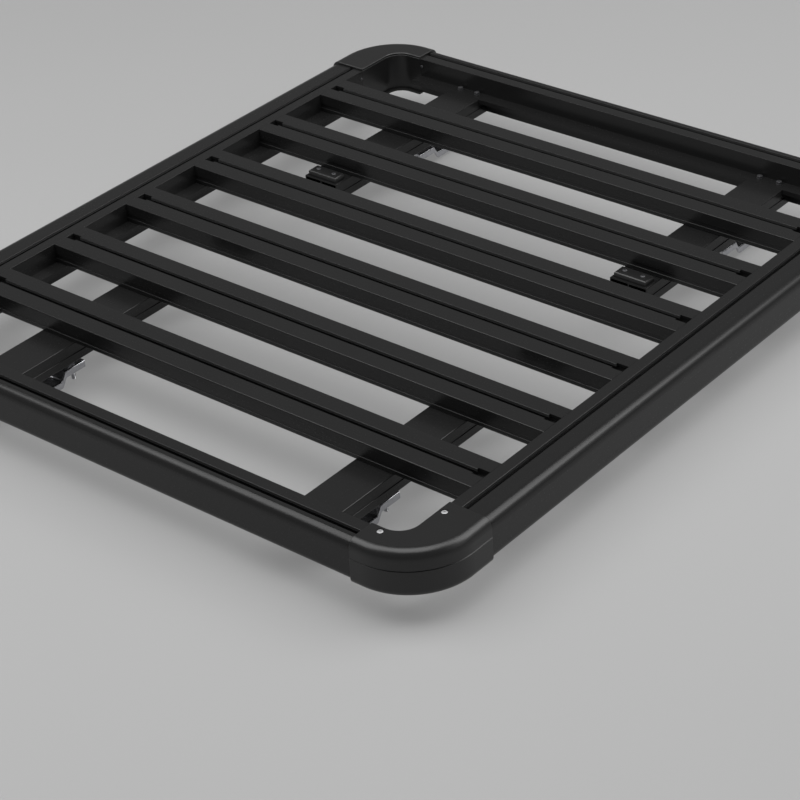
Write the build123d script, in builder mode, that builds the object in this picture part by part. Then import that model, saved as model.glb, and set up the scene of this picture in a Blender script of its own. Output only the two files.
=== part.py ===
from build123d import *
import os

# A flat platform roof rack. Four hollow rails and four two-part corners make the frame, the T-slot slats
# lie on the side rails' ledges, and four short bars under the slats carry pressed feet on T-bolt studs.
# Lengths are in millimetres. X runs across the rack, Y along it towards the rear and Z up, from the
# middle of the level surface that the studs stand on.

# Deck
slat_count = 6
slat_pitch = 185.0
slat_width = 78.0
slat_height = 37.0
deck_clear_width = 1095.0
end_gap = 161.0
deck_height = 133.5

# Rails
side_rail_width = 78.0
end_rail_width = 54.0
rail_height = 74.0
rail_wall = 3.0
shoulder_radius = 18.0
lower_edge_radius = 12.0
ledge_reach = 27.0
ledge_thickness = 9.0
rail_slot_inset = 27.0
rail_edge_radius = 0.8

# T-slot shared by the rails, the slats and the bars
slot_mouth = 10.0
slot_lip = 5.0
slot_width = 20.0
slot_depth = 7.5
slot_lip_radius = 1.2

# Slat and bar section
slat_wall = 2.5
slat_edge_radius = 2.0
groove_height = 7.0
groove_depth = 1.2
groove_edge_radius = 1.0
slat_groove_drop = 21.5
bar_groove_drop = 16.0
entry_width = 18.0
entry_length = 22.0

# Corners
corner_rise = 4.0
corner_drop = 4.0
corner_proud = 2.0
corner_wall = 4.0
corner_outer_radius = 120.0
corner_inner_radius = 35.0
corner_end_arm = 62.0
corner_side_arm = 109.0
seam_drop = 30.0
seam_bevel = 1.2
cap_edge_bevel = 1.2
corner_lip_reach = 6.0
corner_lip_thickness = 4.0
tenon_length = 40.0
tenon_margin = 5.0
boss_radius = 7.0
screw_hole_radius = 3.2
screw_head_radius = 6.2
screw_head_depth = 2.5
screw_from_wall = 10.5
end_screw_reach = 37.0
side_screw_reach = 83.0

# Bars under the slats
bar_inset = 193.5
bar_overhang = 44.0
block_width = 66.0
block_depth = 26.0
block_height = 10.0
block_setback = 4.0
block_bevel = 1.5

# Feet
foot_width = 40.0
foot_sheet = 3.0
foot_skirt = 13.0
foot_gap = 21.5
foot_step = 16.0
foot_slope = 10.0
foot_upper_length = 46.0
foot_bend_radius = 5.0
foot_edge_radius = 3.5
# Faces that tilt from level by less than this angle, in degrees, make the foot's upper side
foot_upper_tilt = 70.0
foot_length = 177.0
foot_inner_end = 467.0
inner_stud_setback = 13.0
fixing_slot_width = 9.0
fixing_slot_length = 26.0
fixing_slot_place = 572.0

# Studs and nuts
stud_radius = 4.0
stud_hole_radius = 4.5
stud_head_width = 19.0
stud_head_height = 6.0
stud_end_bevel = 0.8
relief_radius = 3.2
relief_height = 1.5
nut_across_flats = 13.0
nut_height = 6.5
nut_clearance = 0.1

# Fit between pieces that plug or tuck together
fit_gap = 0.3

# Levels and planes worked out from the sizes above
inner_x = deck_clear_width / 2
inner_y = ((slat_count - 1) * slat_pitch + slat_width) / 2 + end_gap
slat_bottom = deck_height - slat_height
rail_bottom = deck_height - rail_height
bar_bottom = slat_bottom - slat_height
seam_level = deck_height - seam_drop
corner_top = deck_height + corner_rise
corner_bottom = rail_bottom - corner_drop
outer_x = inner_x + side_rail_width + corner_proud
outer_y = inner_y + end_rail_width + corner_proud
end_rail_half = inner_x - corner_end_arm
side_rail_half = inner_y - corner_side_arm
bar_x = inner_x - bar_inset
bar_end_y = ((slat_count - 3) * slat_pitch - slat_width) / 2 - bar_overhang
foot_upper = bar_bottom - foot_gap
foot_lower = foot_upper - foot_step
foot_bend_y = foot_inner_end + foot_upper_length
foot_outer_end = foot_inner_end + foot_length
inner_stud_y = foot_inner_end + inner_stud_setback
outer_stud_y = foot_outer_end - foot_width / 2
stud_seats = ((inner_stud_y, foot_upper), (outer_stud_y, foot_lower))
screw_points = (
    (inner_x - end_screw_reach, inner_y + screw_from_wall),
    (inner_x + screw_from_wall, inner_y - side_screw_reach),
)
front_corners = (("front", "left"), ("front", "right"))
rear_corners = (("rear", "left"), ("rear", "right"))
all_corners = front_corners + rear_corners


def cut_t_slot(section, centre):
    """Cuts a T-slot with rounded lips and a wider channel into the section being drawn, from its top."""
    with Locations((centre, 0)):
        Rectangle(slot_mouth, slot_lip, align=(Align.CENTER, Align.MAX), mode=Mode.SUBTRACT)
    with Locations((centre, -slot_lip)):
        Rectangle(slot_width, slot_depth, align=(Align.CENTER, Align.MAX), mode=Mode.SUBTRACT)
    top_points = section.vertices().group_by(Axis.Y)[-1]
    lips = [v for v in top_points if abs(abs(v.X - centre) - slot_mouth / 2) < fit_gap]
    fillet(lips, slot_lip_radius)


def rail_section(plane, width):
    """Hollow rail section with its top inner edge at the plane's origin and its round shoulder outside."""
    housing_width = slot_width + 2 * rail_wall
    housing_depth = slot_lip + slot_depth + rail_wall
    with BuildSketch(plane) as section:
        Rectangle(width, rail_height, align=(Align.MIN, Align.MAX))
        shoulder = section.vertices().group_by(Axis.X)[-1].sort_by(Axis.Y)[-1]
        fillet(shoulder, shoulder_radius)
        lower_edge = section.vertices().group_by(Axis.Y)[0].sort_by(Axis.X)[-1]
        fillet(lower_edge, lower_edge_radius)
        inner_edge = section.vertices().group_by(Axis.X)[0].sort_by(Axis.Y)[-1]
        fillet(inner_edge, rail_edge_radius)
        offset(amount=-rail_wall, kind=Kind.INTERSECTION, mode=Mode.SUBTRACT)
        with Locations((rail_slot_inset, 0)):
            Rectangle(housing_width, housing_depth, align=(Align.CENTER, Align.MAX))
        with Locations((rail_slot_inset, -housing_depth)):
            Rectangle(rail_wall, rail_height - housing_depth, align=(Align.CENTER, Align.MAX))
        with Locations((0, -slat_height)):
            Rectangle(ledge_reach, ledge_thickness, align=(Align.MAX, Align.MAX))
        cut_t_slot(section, rail_slot_inset)
    return section.sketch


def slat_section(plane, groove_drop):
    """Hollow section with a T-slot in one face, which is local Y = 0, and a groove along each side."""
    housing_width = slot_width + 2 * slat_wall
    housing_depth = slot_lip + slot_depth + slat_wall
    groove_middle = groove_drop + groove_height / 2
    rib_depth = groove_depth + slat_wall
    with BuildSketch(plane) as section:
        with Locations((0, -slat_height / 2)):
            RectangleRounded(slat_width, slat_height, slat_edge_radius)
            Rectangle(slat_width - 2 * slat_wall, slat_height - 2 * slat_wall, mode=Mode.SUBTRACT)
        Rectangle(housing_width, housing_depth, align=(Align.CENTER, Align.MAX))
        with Locations((0, -housing_depth)):
            Rectangle(slat_wall, slat_height - housing_depth, align=(Align.CENTER, Align.MAX))
        for across in (-1, 1):
            with Locations((across * (slat_width - rib_depth) / 2, -groove_middle)):
                Rectangle(rib_depth, groove_height + 2 * slat_wall)
            with Locations((across * slat_width / 2, -groove_middle)):
                Rectangle(2 * groove_depth, groove_height, mode=Mode.SUBTRACT)
        side_points = section.vertices().group_by(Axis.X)[0] + section.vertices().group_by(Axis.X)[-1]
        groove_lips = [v for v in side_points if abs(abs(v.Y + groove_middle) - groove_height / 2) < fit_gap]
        fillet(groove_lips, groove_edge_radius)
        cut_t_slot(section, 0)
    return section.sketch


def corner_plan(level, inset):
    """L-shaped plan of the rear right corner at a level, drawn back all round by an inset."""
    with BuildSketch(Plane.XY.offset(level)) as plan:
        with Locations((end_rail_half, inner_y)):
            Rectangle(outer_x - end_rail_half, outer_y - inner_y, align=(Align.MIN, Align.MIN))
        with Locations((inner_x, side_rail_half)):
            Rectangle(outer_x - inner_x, outer_y - side_rail_half, align=(Align.MIN, Align.MIN))
        fillet(plan.vertices().sort_by_distance((outer_x, outer_y))[0], corner_outer_radius)
        fillet(plan.vertices().sort_by_distance((inner_x, inner_y))[0], corner_inner_radius)
        if inset > 0:
            offset(amount=-inset, kind=Kind.INTERSECTION)
    return plan.sketch


def inner_band(level, into_opening, into_wall):
    """L-shaped band at a level along the corner's inner wall, reaching into the deck opening and the wall."""
    with BuildSketch(Plane.XY.offset(level)) as band:
        with Locations((end_rail_half, side_rail_half)):
            Rectangle(
                corner_end_arm + into_wall,
                corner_side_arm + into_wall,
                align=(Align.MIN, Align.MIN),
            )
        inner_corner = band.vertices().sort_by_distance((inner_x, inner_y))[0]
        fillet(inner_corner, corner_inner_radius + into_wall)
        with BuildSketch(mode=Mode.SUBTRACT) as opening:
            with Locations((end_rail_half, side_rail_half)):
                Rectangle(
                    corner_end_arm - into_opening,
                    corner_side_arm - into_opening,
                    align=(Align.MIN, Align.MIN),
                )
            opening_corner = opening.vertices().sort_by_distance((inner_x, inner_y))[0]
            fillet(opening_corner, corner_inner_radius - into_opening)
    return band.sketch


def edges_along(edges, wall_x, wall_y, radius):
    """The edges that run along two walls of a corner's outline or along the arc between them."""
    centre = Vector(wall_x - radius, wall_y - radius)
    found = []
    for edge in edges:
        middle = edge @ 0.5
        on_wall = abs(middle.X - wall_x) < fit_gap or abs(middle.Y - wall_y) < fit_gap
        from_centre = (Vector(middle.X, middle.Y) - centre).length
        if on_wall or abs(from_centre - radius) < fit_gap:
            found.append(edge)
    return found


def outer_edges(edges, inset):
    """The edges along the corner's outer walls, out of the edges of a face drawn back by an inset."""
    return edges_along(edges, outer_x - inset, outer_y - inset, corner_outer_radius - inset)


def inner_edges(edges):
    """The edges along the corner's inner wall."""
    return edges_along(edges, inner_x, inner_y, corner_inner_radius)


def arm_end_edges(edges):
    """The edges across the ends of the corner's two arms."""
    return edges_along(edges, end_rail_half, side_rail_half, 0)


def export_quadrants(master, name, quadrants):
    """Writes the rear right piece, mirrored to each of the given corners of the rack."""
    for end, side in quadrants:
        with BuildPart() as piece:
            add(master)
            if side == "left":
                mirror(about=Plane.YZ, mode=Mode.REPLACE)
            if end == "front":
                mirror(about=Plane.XZ, mode=Mode.REPLACE)
        piece.part.label = f"{name}_{end}_{side}"
        export_step(piece.part, f"parts/{name}_{end}_{side}.step")


os.makedirs("parts", exist_ok=True)

# Side rails, along the rack
side_plane = Plane(origin=(inner_x, side_rail_half, deck_height), x_dir=(1, 0, 0), z_dir=(0, -1, 0))
with BuildPart() as right_rail:
    extrude(rail_section(side_plane, side_rail_width), amount=2 * side_rail_half)
right_rail.part.label = "right_rail"
export_step(right_rail.part, "parts/right_rail.step")

with BuildPart() as left_rail:
    mirror(right_rail.part, about=Plane.YZ)
left_rail.part.label = "left_rail"
export_step(left_rail.part, "parts/left_rail.step")

# End rails, across the rack
end_plane = Plane(origin=(-end_rail_half, inner_y, deck_height), x_dir=(0, 1, 0), z_dir=(1, 0, 0))
with BuildPart() as rear_rail:
    extrude(rail_section(end_plane, end_rail_width), amount=2 * end_rail_half)
rear_rail.part.label = "rear_rail"
export_step(rear_rail.part, "parts/rear_rail.step")

with BuildPart() as front_rail:
    mirror(rear_rail.part, about=Plane.XZ)
front_rail.part.label = "front_rail"
export_step(front_rail.part, "parts/front_rail.step")

# Slats, numbered from the front, with an entry for T-bolts at each end of the slot
entry_depth = slot_lip + slot_depth
for number in range(slat_count):
    slat_y = (number - (slat_count - 1) / 2) * slat_pitch
    slat_plane = Plane(origin=(-inner_x, slat_y, deck_height), x_dir=(0, 1, 0), z_dir=(1, 0, 0))
    with BuildPart() as slat:
        extrude(slat_section(slat_plane, slat_groove_drop), amount=deck_clear_width)
        for across in (-1, 1):
            with Locations((across * (inner_x - entry_length / 2), slat_y, deck_height)):
                Box(
                    entry_length,
                    entry_width,
                    entry_depth,
                    align=(Align.CENTER, Align.CENTER, Align.MAX),
                    mode=Mode.SUBTRACT,
                )
    slat.part.label = f"slat_{number + 1}"
    export_step(slat.part, f"parts/slat_{number + 1}.step")

# Corner caps, lids with a deep outer wall and bosses, open underneath. The front ones take screws from
# above.
cap_hollow_bevel = (shoulder_radius - corner_wall) * (2 - 2**0.5)
with BuildPart() as cap_hollow:
    extrude(corner_plan(seam_level, corner_wall), amount=corner_top - corner_wall - seam_level)
    roof_edges = cap_hollow.faces().sort_by(Axis.Z)[-1].edges()
    chamfer(outer_edges(roof_edges, corner_wall), cap_hollow_bevel)

with BuildPart() as cap:
    extrude(corner_plan(seam_level, 0), amount=corner_top - seam_level)
    fillet(outer_edges(cap.faces().sort_by(Axis.Z)[-1].edges(), 0), shoulder_radius)
    chamfer(outer_edges(cap.faces().sort_by(Axis.Z)[0].edges(), 0), seam_bevel)
    top_edges = cap.faces().sort_by(Axis.Z)[-1].edges()
    chamfer(inner_edges(top_edges) + arm_end_edges(top_edges), cap_edge_bevel)
    add(cap_hollow.part, mode=Mode.SUBTRACT)
    with BuildSketch(Plane.XY.offset(seam_level)):
        with Locations(*screw_points):
            Circle(boss_radius)
    extrude(amount=corner_top - corner_wall / 2 - seam_level)
    inner_seat = inner_band(seam_level, 0, corner_wall + fit_gap)
    extrude(inner_seat, amount=deck_height - seam_level, mode=Mode.SUBTRACT)
export_quadrants(cap.part, "corner_cap", rear_corners)

with BuildPart() as screwed_cap:
    add(cap.part)
    with Locations(*[(x, y, corner_top) for x, y in screw_points]):
        CounterBoreHole(screw_hole_radius, screw_head_radius, screw_head_depth)
export_quadrants(screwed_cap.part, "corner_cap", front_corners)

# Corner shells, the lower halves, with an inner wall up to the deck, a lip round the opening below it,
# bosses under the cap's own and tenons in the rails
shell_floor = corner_bottom + corner_wall
shell_hollow_bevel = (lower_edge_radius - corner_wall) * (2 - 2**0.5)
tenon_bottom = rail_bottom + lower_edge_radius
tenon_height = seam_level - tenon_margin - tenon_bottom
tenon_width = rail_slot_inset - rail_wall * 3 / 2 - 2 * fit_gap
tenon_middle = rail_wall + fit_gap + tenon_width / 2
end_tenon_seat = (end_rail_half, inner_y + tenon_middle, tenon_bottom)
side_tenon_seat = (inner_x + tenon_middle, side_rail_half, tenon_bottom)
end_tenon = Plane(origin=end_tenon_seat, x_dir=(0, -1, 0), z_dir=(-1, 0, 0))
side_tenon = Plane(origin=side_tenon_seat, x_dir=(1, 0, 0), z_dir=(0, -1, 0))

with BuildPart() as shell_hollow:
    extrude(corner_plan(shell_floor, corner_wall), amount=seam_level - shell_floor)
    floor_edges = shell_hollow.faces().sort_by(Axis.Z)[0].edges()
    chamfer(outer_edges(floor_edges, corner_wall), shell_hollow_bevel)

with BuildPart() as shell:
    extrude(corner_plan(corner_bottom, 0), amount=seam_level - corner_bottom)
    fillet(outer_edges(shell.faces().sort_by(Axis.Z)[0].edges(), 0), lower_edge_radius)
    chamfer(outer_edges(shell.faces().sort_by(Axis.Z)[-1].edges(), 0), seam_bevel)
    add(shell_hollow.part, mode=Mode.SUBTRACT)
    extrude(inner_band(corner_bottom, 0, corner_wall), amount=deck_height - corner_bottom)
    chamfer(inner_edges(shell.faces().sort_by(Axis.Z)[-1].edges()), seam_bevel)
    extrude(inner_band(corner_bottom, corner_lip_reach, corner_wall / 2), amount=corner_lip_thickness)
    with BuildSketch(Plane.XY.offset(corner_bottom)):
        with Locations(*screw_points):
            Circle(boss_radius)
    extrude(amount=seam_level - corner_bottom)
    with Locations(*[(x, y, seam_level) for x, y in screw_points]):
        Hole(screw_hole_radius, depth=seam_level - corner_bottom - corner_wall)
    for tenon_plane in (end_tenon, side_tenon):
        with BuildSketch(tenon_plane):
            Rectangle(tenon_width, tenon_height, align=(Align.CENTER, Align.MIN))
        extrude(amount=tenon_length)
export_quadrants(shell.part, "corner_shell", all_corners)

# Bars, the slat section with its T-slot underneath, tucked under the end rails' ledges
bar_plane = Plane(origin=(bar_x, bar_end_y, bar_bottom), x_dir=(1, 0, 0), z_dir=(0, 1, 0))
with BuildPart() as bar:
    extrude(slat_section(bar_plane, bar_groove_drop), amount=inner_y - fit_gap - bar_end_y)
    with Locations((bar_x, inner_y, slat_bottom)):
        Box(
            slat_width,
            2 * (ledge_reach + fit_gap),
            2 * (ledge_thickness + fit_gap),
            mode=Mode.SUBTRACT,
        )
export_quadrants(bar.part, "bar", all_corners)

# Blocks on the inner ends of the rear bars
with BuildPart() as block:
    with Locations((bar_x, bar_end_y + block_setback, slat_bottom)):
        Box(block_width, block_depth, block_height, align=(Align.CENTER, Align.MIN, Align.MIN))
    chamfer(block.faces().sort_by(Axis.Z)[-1].edges(), block_bevel)
block.part.label = "block_right"
export_step(block.part, "parts/block_right.step")

with BuildPart() as block_left:
    mirror(block.part, about=Plane.YZ)
block_left.part.label = "block_left"
export_step(block_left.part, "parts/block_left.step")

# Feet, pressed from sheet as an upside-down tray with a step in it and a round outer end


def foot_body(width, inner_end, depth, inset):
    """Solid under the foot's stepped top line, drawn back all round in profile by an inset."""
    slope_end = foot_bend_y + foot_slope
    with BuildPart() as body:
        with BuildSketch(Plane.YZ.offset(bar_x)) as profile:
            with BuildLine():
                Polyline(
                    (inner_end, foot_upper),
                    (foot_bend_y, foot_upper),
                    (slope_end, foot_lower),
                    (foot_outer_end, foot_lower),
                    (foot_outer_end, foot_lower - depth),
                    (slope_end, foot_lower - depth),
                    (foot_bend_y, foot_upper - depth),
                    (inner_end, foot_upper - depth),
                    close=True,
                )
            make_face()
            bends = [v for v in profile.vertices() if inner_end < v.X < foot_outer_end]
            fillet(bends, foot_bend_radius)
            if inset > 0:
                offset(amount=-inset, kind=Kind.INTERSECTION)
        extrude(amount=width / 2, both=True)
        rounded = body.edges().filter_by(Axis.Z).group_by(Axis.Y)[-1]
        fillet(rounded, width / 2 - fit_gap)
    return body.part


with BuildPart() as foot:
    add(foot_body(foot_width, foot_inner_end, foot_skirt, 0))
    upper_faces = [
        face
        for face in foot.faces()
        if face.normal_at(face.center()).get_angle(Vector(0, 0, 1)) < foot_upper_tilt
    ]
    rim = [edge for face in upper_faces for edge in face.edges() if abs((edge @ 0.5).X - bar_x) > fit_gap]
    fillet(rim, foot_edge_radius)
    hollow_width = foot_width - 2 * foot_sheet
    hollow_inner_end = foot_inner_end - 2 * foot_sheet
    hollow_depth = foot_skirt + 2 * foot_sheet
    add(foot_body(hollow_width, hollow_inner_end, hollow_depth, foot_sheet), mode=Mode.SUBTRACT)
    for stud_y, seat in stud_seats:
        with Locations((bar_x, stud_y, seat)):
            Hole(stud_hole_radius, depth=foot_skirt)
    with BuildSketch(Plane.XY.offset(foot_lower)):
        with Locations(Location((bar_x, fixing_slot_place), 90)):
            SlotOverall(fixing_slot_length, fixing_slot_width)
    extrude(amount=-foot_skirt, mode=Mode.SUBTRACT)
export_quadrants(foot.part, "foot", all_corners)

# Studs, T-bolts hung in the bars' slots, two to a foot, which carry the rack where it stands
stud_head_level = bar_bottom + slot_lip
with BuildPart() as studs:
    with Locations(*[(bar_x, stud_y, stud_head_level) for stud_y, seat in stud_seats]):
        Box(
            stud_head_width,
            stud_head_width,
            stud_head_height,
            align=(Align.CENTER, Align.CENTER, Align.MIN),
        )
    with BuildSketch():
        with Locations(*[(bar_x, stud_y) for stud_y, seat in stud_seats]):
            Circle(stud_radius)
    extrude(amount=stud_head_level)
    chamfer(studs.edges().group_by(Axis.Z)[0], stud_end_bevel)
    for stud_y, seat in stud_seats:
        with BuildSketch(Plane.XY.offset(seat - foot_sheet - nut_height)):
            with Locations((bar_x, stud_y)):
                Circle(stud_radius)
                Circle(relief_radius, mode=Mode.SUBTRACT)
        extrude(amount=-relief_height, mode=Mode.SUBTRACT)
export_quadrants(studs.part, "studs", all_corners)

# Nuts, which clamp each stud to its bar and hold the foot from above and below
with BuildPart() as nuts:
    for stud_y, seat in stud_seats:
        for base in (bar_bottom - nut_height, seat, seat - foot_sheet - nut_height):
            with BuildSketch(Plane.XY.offset(base)):
                with Locations((bar_x, stud_y)):
                    RegularPolygon(nut_across_flats / 2, 6, major_radius=False)
                    Circle(stud_radius + nut_clearance, mode=Mode.SUBTRACT)
            extrude(amount=nut_height)
export_quadrants(nuts.part, "nuts", all_corners)
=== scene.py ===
"""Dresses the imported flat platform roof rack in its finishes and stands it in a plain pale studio."""

import logging
import math
from dataclasses import dataclass, field
from enum import Enum
from itertools import product

import bpy
import numpy as np
from mathutils import Matrix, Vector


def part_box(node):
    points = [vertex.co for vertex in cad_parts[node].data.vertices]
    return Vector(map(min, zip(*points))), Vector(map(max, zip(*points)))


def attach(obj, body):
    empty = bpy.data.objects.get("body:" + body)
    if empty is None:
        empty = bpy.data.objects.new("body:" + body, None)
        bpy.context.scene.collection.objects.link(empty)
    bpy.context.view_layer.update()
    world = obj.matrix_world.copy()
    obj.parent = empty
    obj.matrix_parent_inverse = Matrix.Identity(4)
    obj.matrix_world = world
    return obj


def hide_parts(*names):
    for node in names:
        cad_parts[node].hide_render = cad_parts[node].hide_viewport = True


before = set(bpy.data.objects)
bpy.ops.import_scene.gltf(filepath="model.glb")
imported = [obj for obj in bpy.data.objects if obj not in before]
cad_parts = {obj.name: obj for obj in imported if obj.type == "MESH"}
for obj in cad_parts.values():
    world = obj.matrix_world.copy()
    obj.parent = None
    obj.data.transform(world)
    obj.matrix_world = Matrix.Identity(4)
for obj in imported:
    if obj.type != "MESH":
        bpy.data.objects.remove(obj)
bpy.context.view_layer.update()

LOG = logging.getLogger("roof_rack")
MM = 0.001
TURN = 2 * math.pi
BODY = "root"
QUARTERS = tuple(product(("front", "rear"), ("left", "right")))
SIGNS = {"front": -1, "rear": 1, "left": -1, "right": 1}
# Faces that meet at more than this stay sharp.
SHARP_ANGLE = math.radians(32)
# Rise of the cones that chamfer nuts and bolt heads, at 30 degrees.
CHAMFER_SLOPE = math.tan(math.pi / 6)
# Octaves of finer noise in a grain, and in patches of colour or die lines.
GRAIN_DETAIL = 3.0
PATCH_DETAIL = 2.0


class Facing(Enum):
    """The way a fastener's head points, as a unit vector in the rack's frame."""

    UP = (0.0, 0.0, 1.0)
    LEFT = (-1.0, 0.0, 0.0)
    RIGHT = (1.0, 0.0, 0.0)
    FRONT = (0.0, -1.0, 0.0)
    REAR = (0.0, 1.0, 0.0)


class Run(Enum):
    """The way an extrusion was drawn, as how far its die lines are stretched along X, Y and Z."""

    ACROSS = (0.02, 1.0, 1.0)
    ALONG = (1.0, 0.02, 1.0)

    @property
    def across(self) -> str:
        """The axis that crosses the extrusion."""
        return "Y" if self is Run.ACROSS else "X"


def linear(colour: str) -> tuple[float, float, float, float]:
    """Turns a colour on the screen into the light it stands for, by the sRGB standard's curve.

    Args:
        colour: sRGB hex value, such as "#2d2d2d".

    Returns:
        Linear red, green, blue and an alpha of one.
    """
    share = np.array([int(colour[i:i + 2], 16) for i in (1, 3, 5)]) / 255
    light = np.where(share <= 0.04045, share / 12.92, ((share + 0.055) / 1.055) ** 2.4)
    return (*light.tolist(), 1.0)


def socket(sockets: bpy.types.bpy_prop_collection, name: str) -> bpy.types.NodeSocket:
    """Finds a socket by identifier, because some nodes have several sockets of one name, or else by name."""
    return next((found for found in sockets if found.identifier == name), None) or sockets[name]


def add_node(
    tree: bpy.types.NodeTree, kind: str, inputs: dict[str, object] | None = None, **settings: object
) -> bpy.types.Node:
    """Adds a node with its settings and links.

    Args:
        tree: node tree that takes the node.
        kind: the node's type.
        inputs: by socket, a plain value to set or an output socket to link.
        settings: the node's own properties.

    Returns:
        The new node.
    """
    node = tree.nodes.new(kind)
    for name, value in settings.items():
        setattr(node, name, value)
    for name, value in (inputs or {}).items():
        if isinstance(value, bpy.types.NodeSocket):
            tree.links.new(value, socket(node.inputs, name))
        else:
            socket(node.inputs, name).default_value = value
    return node


@dataclass(frozen=True)
class Finish:
    """A real material with the way its surface was made.

    The colour drifts a little over patches, the roughness follows a grain, and the same grain stands up as
    bump. Each kind of finish has a grain of its own.
    """

    name: str
    colour: str
    drift_colour: str
    roughness: float
    roughness_spread: float
    grain_mm: float
    grain_height_mm: float
    drift_mm: float = 90.0
    metallic: float = 0.0
    specular: float = 0.5

    def grain(self, tree: bpy.types.NodeTree, place: bpy.types.NodeSocket) -> bpy.types.NodeSocket:
        """The grain that roughness and bump follow, from zero to one: here an even noise."""
        inputs = {"Vector": place, "Scale": 1 / (self.grain_mm * MM), "Detail": GRAIN_DETAIL}
        return add_node(tree, "ShaderNodeTexNoise", inputs).outputs["Fac"]

    def drift(self, tree: bpy.types.NodeTree, place: bpy.types.NodeSocket) -> bpy.types.NodeSocket:
        """The patches that the colour drifts over, from zero to one: here a broad noise."""
        inputs = {"Vector": place, "Scale": 1 / (self.drift_mm * MM), "Detail": PATCH_DETAIL}
        return add_node(tree, "ShaderNodeTexNoise", inputs).outputs["Fac"]

    def tint(self, tree: bpy.types.NodeTree, place: bpy.types.NodeSocket) -> bpy.types.NodeSocket:
        """Lets the colour go over into the drift colour by patches.

        Args:
            tree: the material's node tree.
            place: the piece's Object coordinates.

        Returns:
            Socket of the colour.
        """
        mixed = add_node(tree, "ShaderNodeMix", {
            "Factor_Float": self.drift(tree, place),
            "A_Color": linear(self.colour),
            "B_Color": linear(self.drift_colour),
        }, data_type="RGBA")
        return socket(mixed.outputs, "Result_Color")

    def glow(self, tree: bpy.types.NodeTree) -> dict[str, object]:
        """What the shader gives off by itself, as its inputs: here nothing."""
        return {}

    def material(self) -> bpy.types.Material:
        """Makes the material once and then hands out the same one.

        Returns:
            A node material that reads the piece's Object coordinates.
        """
        made = bpy.data.materials.get(self.name)
        if made is not None:
            return made
        made = bpy.data.materials.new(self.name)
        made.use_nodes = True
        tree = made.node_tree
        tree.nodes.clear()
        place = add_node(tree, "ShaderNodeTexCoord").outputs["Object"]
        grain = self.grain(tree, place)
        rough = add_node(tree, "ShaderNodeMapRange", {
            "Value": grain,
            "To Min": self.roughness - self.roughness_spread,
            "To Max": self.roughness + self.roughness_spread,
        })
        bump = add_node(tree, "ShaderNodeBump", {"Height": grain, "Distance": self.grain_height_mm * MM})
        shader = add_node(tree, "ShaderNodeBsdfPrincipled", {
            "Base Color": self.tint(tree, place),
            "Metallic": self.metallic,
            "Roughness": rough.outputs["Result"],
            "Specular IOR Level": self.specular,
            "Normal": bump.outputs["Normal"],
            **self.glow(tree),
        })
        add_node(tree, "ShaderNodeOutputMaterial", {"Surface": shader.outputs["BSDF"]})
        return made


@dataclass(frozen=True)
class PowderCoat(Finish):
    """Powder coat on an extrusion: orange peel with the die's lines showing through along its run.

    Inside each T-slot the coat is painted paler: painted light that lifts the shade in the slot's recess. A
    point lies on a lip where its distance from the rack's middle line, brought back to the slot line by whole
    pitches, is within half the slot's mouth, and its height is between the lip's foot and its rounded edge.
    """

    run: Run = Run.ACROSS
    line_mm: float = 3.0
    line_share: float = 0.35
    # Paler colour painted inside the T-slots: painted light that lifts the shade in the slots' recesses.
    painted_slot_light_colour: str = "#3e3e3e"
    slot_line: float = 0.0
    slot_pitch: float = 185.0 * MM
    mouth_half_width: float = 5.5 * MM
    lip_edge: float = 1.2 * MM
    lip_foot: float = 5.2 * MM
    deck_top: float = 0.0

    def tint(self, tree: bpy.types.NodeTree, place: bpy.types.NodeSocket) -> bpy.types.NodeSocket:
        """Paints the coat's colour paler inside the slots, as painted light in their recesses.

        Args:
            tree: the material's node tree.
            place: the piece's Object coordinates.

        Returns:
            Socket of the colour.
        """
        axes = add_node(tree, "ShaderNodeSeparateXYZ", {"Vector": place}).outputs
        away = add_node(tree, "ShaderNodeMath", {"Value": axes[self.run.across]}, operation="ABSOLUTE")
        near = add_node(tree, "ShaderNodeMath", {
            "Value": away.outputs["Value"],
            "Value_001": self.slot_line + self.slot_pitch / 2,
            "Value_002": self.slot_line - self.slot_pitch / 2,
        }, operation="WRAP")
        beside = add_node(tree, "ShaderNodeMath", {
            "Value": near.outputs["Value"],
            "Value_001": self.slot_line,
            "Value_002": self.mouth_half_width,
        }, operation="COMPARE")
        below = add_node(tree, "ShaderNodeMath", {
            "Value": axes["Z"],
            "Value_001": self.deck_top - (self.lip_edge + self.lip_foot) / 2,
            "Value_002": (self.lip_foot - self.lip_edge) / 2,
        }, operation="COMPARE")
        painted_light_mask = add_node(tree, "ShaderNodeMath", {
            "Value": beside.outputs["Value"],
            "Value_001": below.outputs["Value"],
        }, operation="MULTIPLY")
        # Paints the inside of each slot paler: painted light in the recess.
        mixed = add_node(tree, "ShaderNodeMix", {
            "Factor_Float": painted_light_mask.outputs["Value"],
            "A_Color": super().tint(tree, place),
            "B_Color": linear(self.painted_slot_light_colour),
        }, data_type="RGBA")
        return socket(mixed.outputs, "Result_Color")

    def grain(self, tree: bpy.types.NodeTree, place: bpy.types.NodeSocket) -> bpy.types.NodeSocket:
        """Mixes the peel with a noise that is stretched along the extrusion.

        Args:
            tree: the material's node tree.
            place: the piece's Object coordinates.

        Returns:
            Socket of the grain, from zero to one.
        """
        along = add_node(tree, "ShaderNodeMapping", {"Vector": place, "Scale": self.run.value})
        lines = add_node(tree, "ShaderNodeTexNoise", {
            "Vector": along.outputs["Vector"],
            "Scale": 1 / (self.line_mm * MM),
            "Detail": PATCH_DETAIL,
        })
        mixed = add_node(tree, "ShaderNodeMix", {
            "Factor_Float": self.line_share,
            "A_Float": super().grain(tree, place),
            "B_Float": lines.outputs["Fac"],
        })
        return socket(mixed.outputs, "Result_Float")


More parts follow.
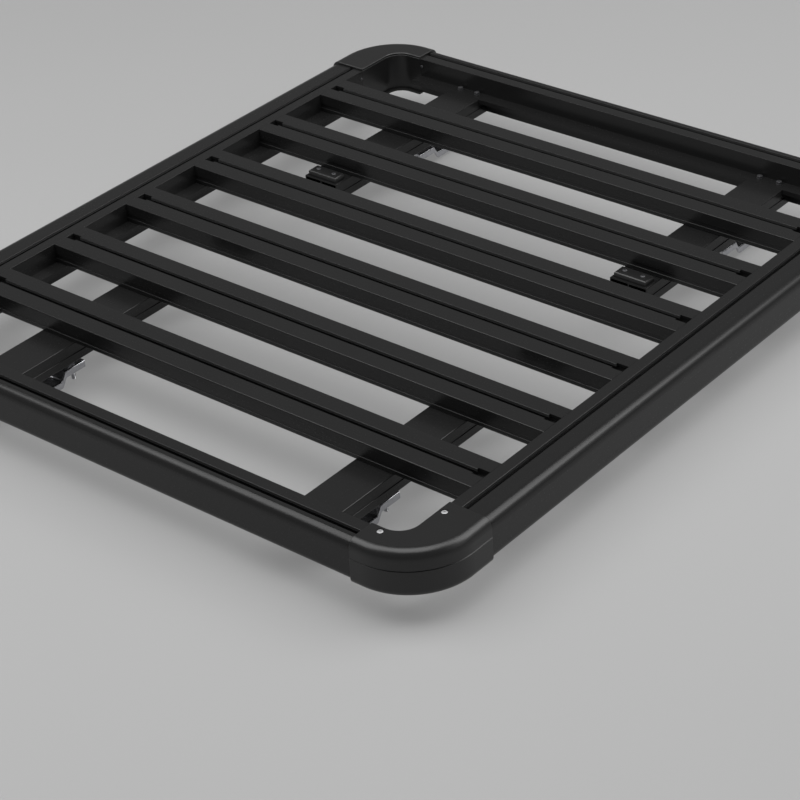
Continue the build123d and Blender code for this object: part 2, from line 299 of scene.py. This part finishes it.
@dataclass(frozen=True)
class ZincPlate(Finish):
    """Zinc plate: the colour steps a little from crystal to crystal."""

    spangle_mm: float = 5.0

    def drift(self, tree: bpy.types.NodeTree, place: bpy.types.NodeSocket) -> bpy.types.NodeSocket:
        """A value of its own for each cell of a Voronoi pattern."""
        cells = add_node(tree, "ShaderNodeTexVoronoi", {"Vector": place, "Scale": 1 / (self.spangle_mm * MM)})
        return add_node(tree, "ShaderNodeSeparateColor", {"Color": cells.outputs["Color"]}).outputs["Red"]


def powder_coat(part: str, run: Run, slot_line: float, deck_top: float) -> PowderCoat:
    """The finish of the rails, slats and bars.

    Aluminium extrusion under a satin black powder coat: an even near-black with a soft sheen. The peel of
    about 1 mm is drawn at 2.5 mm, and the die lines of about 0.5 mm at 3 mm, so that they show.

    Args:
        part: what the extrusion is used for.
        run: the way it was drawn.
        slot_line: distance of its T-slot from the rack's middle line.
        deck_top: level of the deck.

    Returns:
        Powder coat with its die lines along that run.
    """
    return PowderCoat(
        name=f"powder_coated_aluminium_{part}",
        colour="#1b1b1b", drift_colour="#1e1e1e", roughness=0.26, roughness_spread=0.05,
        grain_mm=2.5, grain_height_mm=0.015, specular=0.31, run=run, slot_line=slot_line, deck_top=deck_top,
    )


# Glass-filled nylon, injection moulded in a spark-eroded tool: the same black, with a fine even grain and a
# little more sheen. The grain of about 0.3 mm is drawn at 1.5 mm so that it shows.
MOULDED_NYLON = Finish(
    name="moulded_nylon", colour="#191919", drift_colour="#1c1c1c", roughness=0.3, roughness_spread=0.05,
    grain_mm=1.5, grain_height_mm=0.012, specular=0.45,
)

# Pressed steel sheet with bright zinc plate: a pale metal that softly mirrors what is round it, with a faint
# spangle.
ZINC_SHEET = ZincPlate(
    name="zinc_plated_sheet", colour="#c6c6ca", drift_colour="#babbbf", roughness=0.2, roughness_spread=0.06,
    grain_mm=3.0, grain_height_mm=0.012, metallic=1.0,
)

# Cold-headed and rolled steel with zinc plate: a little paler and duller than the sheet, its spangle finer.
ZINC_FASTENER = ZincPlate(
    name="zinc_plated_fastener", colour="#dadadc", drift_colour="#c9cacd",
    roughness=0.3, roughness_spread=0.08, grain_mm=1.5, grain_height_mm=0.008, metallic=1.0, spangle_mm=2.5,
)

# Stainless steel screw, headed and tumbled: pale and evenly dull, because tumbling leaves it half matt.
TUMBLED_STAINLESS = Finish(
    name="tumbled_stainless", colour="#b4b4b4", drift_colour="#a9a9ab", roughness=0.55, roughness_spread=0.06,
    grain_mm=0.8, grain_height_mm=0.008, drift_mm=5.0, metallic=0.6,
)

# Steel bolt with a black oxide skin: dark grey and half matt, with a slight sheen that shows each edge.
BLACK_OXIDE = Finish(
    name="black_oxide_steel", colour="#58585a", drift_colour="#4c4c4e", roughness=0.46, roughness_spread=0.06,
    grain_mm=0.8, grain_height_mm=0.008, drift_mm=5.0, metallic=0.6,
)


@dataclass(frozen=True)
class Rings:
    """A closed surface on a grid: a row for each ring and a column for each step round it.

    Neighbouring rings are joined by four-sided faces. The first and the last ring are closed by a flat face
    each, or joined to one another where the surface goes round a bore.
    """

    points: np.ndarray
    bored: bool = False

    def faces(self, first: int) -> list[list[int]]:
        """Works out the faces from the grid's row and column numbers.

        Args:
            first: number of the grid's first vertex in its mesh.

        Returns:
            Faces as lists of vertex numbers, turned outwards for rings that run up their axis.
        """
        rows, columns = self.points.shape[:2]
        number = np.arange(rows * columns).reshape(rows, columns) + first
        upper = np.roll(number, -1, axis=0)
        if not self.bored:
            number, upper = number[:-1], upper[:-1]
        quads = np.stack(
            [number, np.roll(number, -1, axis=1), np.roll(upper, -1, axis=1), upper], axis=-1
        ).reshape(-1, 4).tolist()
        if self.bored:
            return quads
        last = first + (rows - 1) * columns
        return quads + [list(range(first + columns - 1, first - 1, -1)), list(range(last, last + columns))]


def make_piece(
    name: str, parts: list[Rings], finish: Finish, replaced: tuple[str, ...] = ()
) -> bpy.types.Object:
    """Puts ring surfaces into one mesh object that rides on the rack.

    Args:
        name: the piece's name.
        parts: surfaces in the rack's frame, in metres.
        finish: the piece's finish.
        replaced: CAD nodes that the piece stands for.

    Returns:
        The new object, at the origin.
    """
    counts = [part.points.shape[0] * part.points.shape[1] for part in parts]
    starts = np.cumsum([0] + counts)
    vertices = np.concatenate([part.points.reshape(-1, 3) for part in parts])
    faces = [face for part, start in zip(parts, starts.tolist()) for face in part.faces(start)]
    mesh = bpy.data.meshes.new(name)
    mesh.from_pydata(vertices.tolist(), [], faces)
    mesh.materials.append(finish.material())
    mesh.validate()
    mesh.shade_smooth()
    mesh.set_sharp_from_angle(angle=SHARP_ANGLE)
    piece = bpy.data.objects.new(name, mesh)
    bpy.context.scene.collection.objects.link(piece)
    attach(piece, BODY)
    if replaced:
        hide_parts(*replaced)
    LOG.info("%s: %d faces", name, len(faces))
    return piece


def dress(nodes: list[str], finish: Finish) -> None:
    """Gives CAD nodes a finish.

    Args:
        nodes: names of the nodes.
        finish: what they are made of.
    """
    for name in nodes:
        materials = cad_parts[name].data.materials
        materials.clear()
        materials.append(finish.material())
        LOG.info("%s: %s", name, finish.name)


@dataclass(frozen=True)
class Seat:
    """The point of a face that carries a fastener, and the way the head points from it."""

    point: tuple[float, float, float]
    facing: Facing

    def place(self, radius: np.ndarray, angle: np.ndarray, rise: np.ndarray) -> np.ndarray:
        """Turns radius, angle and rise about the seat's axis into points of the rack's frame.

        Args:
            radius: distance from the axis.
            angle: angle round the axis.
            rise: distance along the axis from the face.

        Returns:
            Points with a last axis of three.
        """
        axis = np.array(self.facing.value)
        side = np.array((0.0, 0.0, 1.0)) if self.facing is not Facing.UP else np.array((1.0, 0.0, 0.0))
        other = np.cross(axis, side)
        radius, angle, rise = (part[..., None] for part in np.broadcast_arrays(radius, angle, rise))
        across = side * np.cos(angle) + other * np.sin(angle)
        return np.array(self.point) + radius * across + rise * axis


def hexagon(angle: np.ndarray) -> np.ndarray:
    """Share of a hexagon's corner radius: cos 30 degrees over the cosine of the angle from a flat."""
    return math.cos(math.pi / 6) / np.cos(np.mod(angle, math.pi / 3) - math.pi / 6)


@dataclass(frozen=True)
class ButtonHead:
    """Low domed screw head with a hexagon socket."""

    radius: float = 5.4 * MM
    rim: float = 0.7 * MM
    height: float = 2.2 * MM
    socket_radius: float = 2.0 * MM
    socket_depth: float = 0.9 * MM
    socket_edge: float = 0.05 * MM
    land_share: float = 1.15
    columns: int = 48
    dome_rows: int = 7

    def surface(self, seat: Seat) -> Rings:
        """Turns the head's outline round its axis.

        The outline goes up the rim, over a quarter ellipse to the socket's edge and down the socket. The
        radius is multiplied by a hexagon's in the socket's rows.

        Args:
            seat: where the head sits.

        Returns:
            The head's closed surface.
        """
        reach = math.acos(self.land_share * self.socket_radius / self.radius)
        sweep = np.linspace(0, reach, self.dome_rows)
        dome_radius = self.radius * np.cos(sweep)
        dome_rise = self.rim + (self.height - self.rim) * np.sin(sweep) / math.sin(reach)
        floor = self.height - self.socket_depth
        radius = np.concatenate([[self.radius], dome_radius, [self.socket_radius] * 2])
        rise = np.concatenate([[0.0], dome_rise, [self.height - self.socket_edge, floor]])
        in_socket = np.arange(len(radius)) >= len(radius) - 2
        angle = np.linspace(0, TURN, self.columns, endpoint=False)[None, :]
        shape = np.where(in_socket[:, None], hexagon(angle), 1.0)
        return Rings(seat.place(radius[:, None] * shape, angle, rise[:, None]))


@dataclass(frozen=True)
class HexHead:
    """Hexagon bolt head with a chamfered crown, on a washer."""

    across_flats: float = 10.0 * MM
    height: float = 4.0 * MM
    washer_radius: float = 6.2 * MM
    washer_height: float = 1.0 * MM
    crown_share: float = 0.94
    columns: int = 48

    def surface(self, seat: Seat) -> Rings:
        """Stacks the washer's round rings under the head's hexagon rings and the crown's round one.

        Args:
            seat: where the washer sits.

        Returns:
            The bolt head's closed surface.
        """
        corner = self.across_flats / 2 / math.cos(math.pi / 6)
        crown = self.crown_share * self.across_flats / 2
        top = self.washer_height + self.height
        angle = np.linspace(0, TURN, self.columns, endpoint=False)[None, :]
        hexagonal = corner * hexagon(angle)
        chamfer = (hexagonal - crown) * CHAMFER_SLOPE
        rings = [
            (self.washer_radius, 0.0),
            (self.washer_radius, self.washer_height),
            (hexagonal, self.washer_height),
            (hexagonal, top - chamfer),
            (crown, top),
        ]
        radius = np.concatenate([np.broadcast_to(r, angle.shape) for r, _ in rings])
        rise = np.concatenate([np.broadcast_to(z, angle.shape) for _, z in rings])
        return Rings(seat.place(radius, angle, rise))


@dataclass(frozen=True)
class HexNut:
    """Hexagon nut, chamfered at both ends, with a countersunk bore."""

    across_flats: float = 13.0 * MM
    bore_radius: float = 4.03 * MM
    end_share: float = 0.97
    countersink: float = 0.5 * MM
    columns: int = 48

    def surface(self, seat: Seat, height: float) -> Rings:
        """Takes an outline round the nut.

        It goes up the outside, in over the top, down the bore and out under the base. Outside it is a
        hexagon, cut by 30 degree cones where the hexagon is wider than the cone's round end.

        Args:
            seat: middle of the nut's base.
            height: from base to top.

        Returns:
            The nut's surface, closed round its bore.
        """
        angle = np.linspace(0, TURN, self.columns, endpoint=False)[None, :]
        hexagonal = self.across_flats / 2 / math.cos(math.pi / 6) * hexagon(angle)
        end = self.end_share * self.across_flats / 2
        bore, sink = self.bore_radius, self.countersink
        cone = (hexagonal - end) * CHAMFER_SLOPE
        rings = [
            (end, 0.0), (hexagonal, cone), (hexagonal, height - cone), (end, height),
            (bore + sink, height), (bore, height - sink), (bore, sink), (bore + sink, 0.0),
        ]
        radius = np.concatenate([np.broadcast_to(r, angle.shape) for r, _ in rings])
        rise = np.concatenate([np.broadcast_to(z, angle.shape) for _, z in rings])
        return Rings(seat.place(radius, angle, rise), bored=True)


@dataclass(frozen=True)
class ThreadedStud:
    """T-bolt stud: a rolled thread up to a square head."""

    major_radius: float = 4.0 * MM
    minor_radius: float = 3.4 * MM
    pitch: float = 1.25 * MM
    end_bevel: float = 0.8 * MM
    head_half_width: float = 9.5 * MM
    head_height: float = 6.0 * MM
    head_edge: float = 0.7 * MM
    head_power: int = 8
    samples: int = 5
    columns: int = 20

    def surface(self, x: float, y: float, head_level: float) -> Rings:
        """Winds a thread up the shank and ends it in the head.

        The thread's radius rises and falls as a triangle wave of height over pitch less the angle's share of
        a turn, and is held under a cone at the stud's end. The head's rings are a superellipse of the head's
        power.

        Args:
            x: the stud's place across the rack.
            y: its place along the rack.
            head_level: underside of the head.

        Returns:
            The stud's closed surface.
        """
        angle = np.linspace(0, TURN, self.columns, endpoint=False)[None, :]
        height = np.arange(0, head_level, self.pitch / self.samples)[:, None]
        wave = 2 * np.abs(np.mod(height / self.pitch - angle / TURN, 1.0) - 0.5)
        thread = self.minor_radius + (self.major_radius - self.minor_radius) * wave
        thread = np.minimum(thread, self.major_radius - self.end_bevel + height)
        power = self.head_power
        square = (np.abs(np.cos(angle)) ** power + np.abs(np.sin(angle)) ** power) ** (-1 / power)
        half, edge, top = self.head_half_width, self.head_edge, head_level + self.head_height
        head_rows = [
            (np.full_like(angle, self.minor_radius), head_level),
            (square * (half - edge), head_level), (square * half, head_level + edge),
            (square * half, top - edge), (square * (half - edge), top),
        ]
        radius = np.concatenate([thread] + [row for row, _ in head_rows])
        rise = np.concatenate([height, np.array([[z] for _, z in head_rows])])
        return Rings(Seat((x, y, 0.0), Facing.UP).place(radius, angle, rise))


@dataclass
class Deck:
    """The rails and the slats between them."""

    end_arm: float = 62.0 * MM
    side_arm: float = 109.0 * MM
    slat_pitch: float = 185.0 * MM
    slot_inset: float = 27.0 * MM
    joint_screw_inset: float = 4.5 * MM
    joint_screw_drop: float = 17.0 * MM
    joint_screw: ButtonHead = field(
        default_factory=lambda: ButtonHead(
            radius=3.4 * MM, rim=0.4 * MM, height=1.5 * MM, socket_radius=1.3 * MM, socket_depth=0.8 * MM
        )
    )
    bolt: HexHead = field(default_factory=HexHead)
    bolt_spread: float = 42.0 * MM
    bolt_from_wall: float = 8.5 * MM
    top: float = field(init=False)
    ledge_level: float = field(init=False)
    inner_x: float = field(init=False)
    inner_y: float = field(init=False)
    bar_x: float = field(init=False)
    rail_end_x: float = field(init=False)
    rail_end_y: float = field(init=False)

    def __post_init__(self) -> None:
        """Reads the deck's planes from the frame."""
        slat, bar, cap = (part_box(name) for name in ("slat_1", "bar_rear_right", "corner_cap_rear_right"))
        self.top = slat[1].z
        self.ledge_level = slat[0].z
        self.inner_x = cap[0].x + self.end_arm
        self.inner_y = cap[0].y + self.side_arm
        self.bar_x = (bar[0].x + bar[1].x) / 2
        self.rail_end_x = cap[0].x
        self.rail_end_y = cap[0].y

    def dress(self) -> None:
        """Gives the extrusions their powder coat, with die lines the way each was drawn."""
        slats = sorted(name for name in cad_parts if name.startswith("slat_"))
        bars = [f"bar_{end}_{side}" for end, side in QUARTERS]
        side_slot, end_slot = self.inner_x + self.slot_inset, self.inner_y + self.slot_inset
        slat_slot = self.slat_pitch / 2
        dress(slats, powder_coat("slats", Run.ACROSS, slat_slot, self.top))
        dress(["front_rail", "rear_rail"], powder_coat("end_rails", Run.ACROSS, end_slot, self.top))
        dress(["left_rail", "right_rail"], powder_coat("side_rails", Run.ALONG, side_slot, self.top))
        dress(bars, powder_coat("bars", Run.ALONG, side_slot, self.top))

    def build(self) -> None:
        """Adds the small screws beside each joint and the bolts of the bars on the end rails' ledges."""
        for end, side in QUARTERS:
            along, across = SIGNS[end], SIGNS[side]
            level = self.top - self.joint_screw_drop
            end_wall = Seat(
                (across * (self.rail_end_x - self.joint_screw_inset), along * self.inner_y, level),
                Facing.FRONT if end == "rear" else Facing.REAR,
            )
            side_wall = Seat(
                (across * self.inner_x, along * (self.rail_end_y - self.joint_screw_inset), level),
                Facing.LEFT if side == "right" else Facing.RIGHT,
            )
            make_piece(
                f"joint_screws_{end}_{side}",
                [self.joint_screw.surface(end_wall), self.joint_screw.surface(side_wall)],
                BLACK_OXIDE,
            )
            bolts = [
                Seat(
                    (across * self.bar_x + step * self.bolt_spread / 2,
                     along * (self.inner_y - self.bolt_from_wall), self.ledge_level),
                    Facing.UP,
                )
                for step in (-1, 1)
            ]
            make_piece(
                f"ledge_bolts_{end}_{side}", [self.bolt.surface(seat) for seat in bolts],
                BLACK_OXIDE,
            )


@dataclass
class Corners:
    """The moulded corners and the pale screws that hold the front caps down."""

    screw: ButtonHead = field(default_factory=ButtonHead)
    recess_depth: float = 2.5 * MM
    screw_from_wall: float = 10.5 * MM
    end_screw_reach: float = 37.0 * MM
    side_screw_reach: float = 83.0 * MM

    def dress(self) -> None:
        """Gives both halves of every corner the moulded nylon."""
        halves = [f"corner_{half}_{end}_{side}" for half in ("cap", "shell") for end, side in QUARTERS]
        dress(halves, MOULDED_NYLON)

    def build(self, deck: Deck) -> None:
        """Sets two screws into the recesses of each front cap.

        Args:
            deck: the deck that the corners surround.
        """
        places = (
            (deck.inner_x - self.end_screw_reach, deck.inner_y + self.screw_from_wall),
            (deck.inner_x + self.screw_from_wall, deck.inner_y - self.side_screw_reach),
        )
        for side in ("left", "right"):
            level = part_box(f"corner_cap_front_{side}")[1].z - self.recess_depth
            seats = [Seat((SIGNS[side] * x, SIGNS["front"] * y, level), Facing.UP) for x, y in places]
            make_piece(
                f"cap_screws_front_{side}", [self.screw.surface(seat) for seat in seats],
                TUMBLED_STAINLESS,
            )


@dataclass
class Blocks:
    """The two blocks on the rear bars and their bolts."""

    bolt: ButtonHead = field(
        default_factory=lambda: ButtonHead(
            radius=4.6 * MM, rim=1.2 * MM, height=2.6 * MM, socket_radius=1.9 * MM, socket_depth=1.2 * MM
        )
    )
    bolt_spread: float = 38.0 * MM

    def dress(self) -> None:
        """Gives the blocks the moulded nylon."""
        dress(["block_left", "block_right"], MOULDED_NYLON)

    def build(self) -> None:
        """Sets two bolts on each block, along its middle line."""
        for side in ("left", "right"):
            low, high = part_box(f"block_{side}")
            middle = (low + high) / 2
            seats = [
                Seat((middle.x + step * self.bolt_spread / 2, middle.y, high.z), Facing.UP)
                for step in (-1, 1)
            ]
            make_piece(
                f"block_bolts_{side}", [self.bolt.surface(seat) for seat in seats], BLACK_OXIDE
            )


@dataclass
class Feet:
    """The pressed feet with their threaded studs and nuts."""

    stud: ThreadedStud = field(default_factory=ThreadedStud)
    nut: HexNut = field(default_factory=HexNut)
    nut_height: float = 6.5 * MM
    foot_step: float = 16.0 * MM
    sheet: float = 3.0 * MM

    def dress(self) -> None:
        """Gives the feet their zinc plate."""
        dress([f"foot_{end}_{side}" for end, side in QUARTERS], ZINC_SHEET)

    def build(self) -> None:
        """Puts a threaded stud and chamfered nuts in the place of each plain one."""
        for end, side in QUARTERS:
            quarter = f"{end}_{side}"
            low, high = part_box(f"studs_{quarter}")
            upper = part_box(f"foot_{quarter}")[1].z
            bar_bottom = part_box(f"bar_{quarter}")[0].z
            x = (low.x + high.x) / 2
            half = self.stud.head_half_width
            near, far = (low.y + half, high.y - half) if end == "rear" else (high.y - half, low.y + half)
            seats = ((near, upper), (far, upper - self.foot_step))
            make_piece(
                f"thread_studs_{quarter}",
                [self.stud.surface(x, y, high.z - self.stud.head_height) for y, _ in seats],
                ZINC_FASTENER, (f"studs_{quarter}",),
            )
            nuts = [
                self.nut.surface(Seat((x, y, base), Facing.UP), self.nut_height)
                for y, seat in seats
                for base in (bar_bottom - self.nut_height, seat, seat - self.sheet - self.nut_height)
            ]
            make_piece(f"hex_nuts_{quarter}", nuts, ZINC_FASTENER, (f"nuts_{quarter}",))


@dataclass(frozen=True)
class FloorPaint(Finish):
    """Floor paint that is paler where it is seen, directly or in gloss, with no more light on the rack."""

    lift: float = 0.0

    def glow(self, tree: bpy.types.NodeTree) -> dict[str, object]:
        """Gives off the lift where a camera, glossy or transmission ray meets the floor.

        Args:
            tree: the paint's node tree.

        Returns:
            The shader's inputs for it.
        """
        path = add_node(tree, "ShaderNodeLightPath").outputs
        mirrored = add_node(tree, "ShaderNodeMath", {
            "Value": path["Is Glossy Ray"],
            "Value_001": path["Is Transmission Ray"],
        }, operation="ADD")
        seen = add_node(tree, "ShaderNodeMath", {
            "Value": path["Is Camera Ray"],
            "Value_001": mirrored.outputs["Value"],
        }, operation="ADD", use_clamp=True)
        strength = add_node(tree, "ShaderNodeMath", {
            "Value": seen.outputs["Value"],
            "Value_001": self.lift,
        }, operation="MULTIPLY")
        return {"Emission Color": linear("#ffffff"), "Emission Strength": strength.outputs["Value"]}


# Matt floor paint, rolled on: pale and even, with no gloss of its own.
FLOOR_PAINT = FloorPaint(
    name="matt_floor_paint", colour="#848484", drift_colour="#808080", roughness=0.9, roughness_spread=0.02,
    grain_mm=40.0, grain_height_mm=0.0, drift_mm=900.0, specular=0.1, lift=0.2,
)


@dataclass(frozen=True)
class Softbox:
    """A rectangular lamp that faces the floor, placed by its shift across and behind the line of sight."""

    name: str
    width: float
    depth: float
    across: float
    behind: float


@dataclass
class Studio:
    """Plain pale floor that sweeps up all round, soft lamps in a row overhead, the surround and the camera.

    The surround is pale low down, where the deck mirrors it, and dark above. On the camera's right it has a
    low glow, which draws the edges of the bars and feet.
    """

    floor_half: float = 12.0
    floor_cells: int = 72
    level_radius: float = 5.0
    sweep: float = 0.05
    lamp_height: float = 3.6
    lamp_radiance: float = 3.7
    lamps: tuple[Softbox, ...] = (
        Softbox("middle_softbox", width=2.4, depth=2.7, across=0.1, behind=-0.75),
        Softbox("left_softbox", width=2.9, depth=3.1, across=-2.6, behind=-0.05),
        Softbox("right_softbox", width=4.4, depth=2.9, across=3.8, behind=0.1),
    )
    low_surround: float = 0.21
    high_surround: float = 0.04
    low_limit: float = 0.6
    high_limit: float = 0.85
    side_glow: float = 0.7
    side_elevation: float = 20.0
    side_start: float = 0.8
    side_full: float = 0.95
    eye: tuple[float, float, float] = (2.51592, -2.9133, 2.26391)
    azimuth: float = 41.042
    elevation: float = 32.298
    roll: float = -3.609
    lens_mm: float = 112.004
    sensor_mm: float = 36.0

    def build(self) -> None:
        """Makes the floor, the lamps, the surround and the camera."""
        self.make_floor()
        self.make_lamps()
        self.make_surround()
        self.make_camera()

    def make_floor(self) -> None:
        """Lays a square grid of points, level near the rack.

        Beyond the level radius the height is the sweep times the square of the distance past that radius.
        """
        steps = np.linspace(-self.floor_half, self.floor_half, self.floor_cells + 1)
        x, y = np.meshgrid(steps, steps)
        past = np.maximum(np.hypot(x, y) - self.level_radius, 0.0)
        vertices = np.stack([x, y, self.sweep * past**2], axis=-1).reshape(-1, 3)
        number = np.arange(vertices.shape[0]).reshape(x.shape)
        faces = np.stack([number[:-1, :-1], number[:-1, 1:], number[1:, 1:], number[1:, :-1]], axis=-1)
        mesh = bpy.data.meshes.new("studio_floor")
        mesh.from_pydata(vertices.tolist(), [], faces.reshape(-1, 4).tolist())
        mesh.shade_smooth()
        mesh.materials.append(FLOOR_PAINT.material())
        floor = bpy.data.objects.new("studio_floor", mesh)
        bpy.context.scene.collection.objects.link(floor)

    def make_lamps(self) -> None:
        """Hangs the softboxes over the rack, square to the camera's line of sight.

        A lamp's power is pi times its radiance and its area, so all of them look equally bright.
        """
        turn = math.radians(self.azimuth)
        for box in self.lamps:
            lamp = bpy.data.lights.new(box.name, "AREA")
            lamp.shape = "RECTANGLE"
            lamp.size = box.width
            lamp.size_y = box.depth
            lamp.energy = math.pi * self.lamp_radiance * box.width * box.depth
            holder = bpy.data.objects.new(box.name, lamp)
            holder.location = (
                box.across * math.cos(turn) - box.behind * math.sin(turn),
                box.across * math.sin(turn) + box.behind * math.cos(turn),
                self.lamp_height,
            )
            holder.rotation_euler = (0.0, 0.0, turn)
            bpy.context.scene.collection.objects.link(holder)

    def make_surround(self) -> None:
        """Sets the light that comes from all round.

        It goes from the low to the high value by the height of the direction, and the glow is added by the
        cosine of the angle to the glow's middle.
        """
        world = bpy.data.worlds.new("studio_surround")
        world.use_nodes = True
        tree = world.node_tree
        tree.nodes.clear()
        direction = add_node(tree, "ShaderNodeTexCoord").outputs["Generated"]
        level = add_node(tree, "ShaderNodeMapRange", {
            "Value": add_node(tree, "ShaderNodeSeparateXYZ", {"Vector": direction}).outputs["Z"],
            "From Min": self.low_limit,
            "From Max": self.high_limit,
            "To Min": self.low_surround,
            "To Max": self.high_surround,
        }, interpolation_type="SMOOTHSTEP")
        turn, rise = math.radians(self.azimuth), math.radians(self.side_elevation)
        facing = add_node(tree, "ShaderNodeVectorMath", {
            "Vector": direction,
            "Vector_001": (math.cos(turn) * math.cos(rise), math.sin(turn) * math.cos(rise), math.sin(rise)),
        }, operation="DOT_PRODUCT")
        glow = add_node(tree, "ShaderNodeMapRange", {
            "Value": facing.outputs["Value"],
            "From Min": self.side_start,
            "From Max": self.side_full,
            "To Min": 0.0,
            "To Max": self.side_glow,
        }, interpolation_type="SMOOTHSTEP")
        strength = add_node(tree, "ShaderNodeMath", {
            "Value": level.outputs["Result"],
            "Value_001": glow.outputs["Result"],
        }, operation="ADD")
        backdrop = add_node(tree, "ShaderNodeBackground", {
            "Color": linear("#ffffff"),
            "Strength": strength.outputs["Value"],
        })
        add_node(tree, "ShaderNodeOutputWorld", {"Surface": backdrop.outputs["Background"]})
        bpy.context.scene.world = world

    def make_camera(self) -> None:
        """Sets the camera at the eye, turned by azimuth and elevation and then rolled about its own axis."""
        azimuth, elevation, roll = (math.radians(a) for a in (self.azimuth, self.elevation, self.roll))
        back = np.array((
            math.sin(azimuth) * math.cos(elevation),
            -math.cos(azimuth) * math.cos(elevation),
            math.sin(elevation),
        ))
        level = np.array((math.cos(azimuth), math.sin(azimuth), 0.0))
        rise = np.cross(back, level)
        right = level * math.cos(roll) + rise * math.sin(roll)
        up = rise * math.cos(roll) - level * math.sin(roll)
        pose = np.eye(4)
        pose[:3] = np.column_stack([right, up, back, self.eye])
        data = bpy.data.cameras.new("studio_camera")
        data.lens = self.lens_mm
        data.sensor_width = self.sensor_mm
        camera = bpy.data.objects.new("studio_camera", data)
        camera.matrix_world = Matrix(pose.tolist())
        bpy.context.scene.collection.objects.link(camera)
        bpy.context.scene.camera = camera
        bpy.context.scene.view_settings.view_transform = "Standard"


def main() -> None:
    """Builds and dresses the rack's sub-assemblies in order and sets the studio."""
    logging.basicConfig(level=logging.INFO, format="%(name)s: %(message)s")
    deck, corners, blocks, feet = Deck(), Corners(), Blocks(), Feet()
    for assembly in (deck, corners, blocks, feet):
        assembly.dress()
    deck.build()
    corners.build(deck)
    blocks.build()
    feet.build()
    Studio().build()


if __name__ == "__main__":
    main()
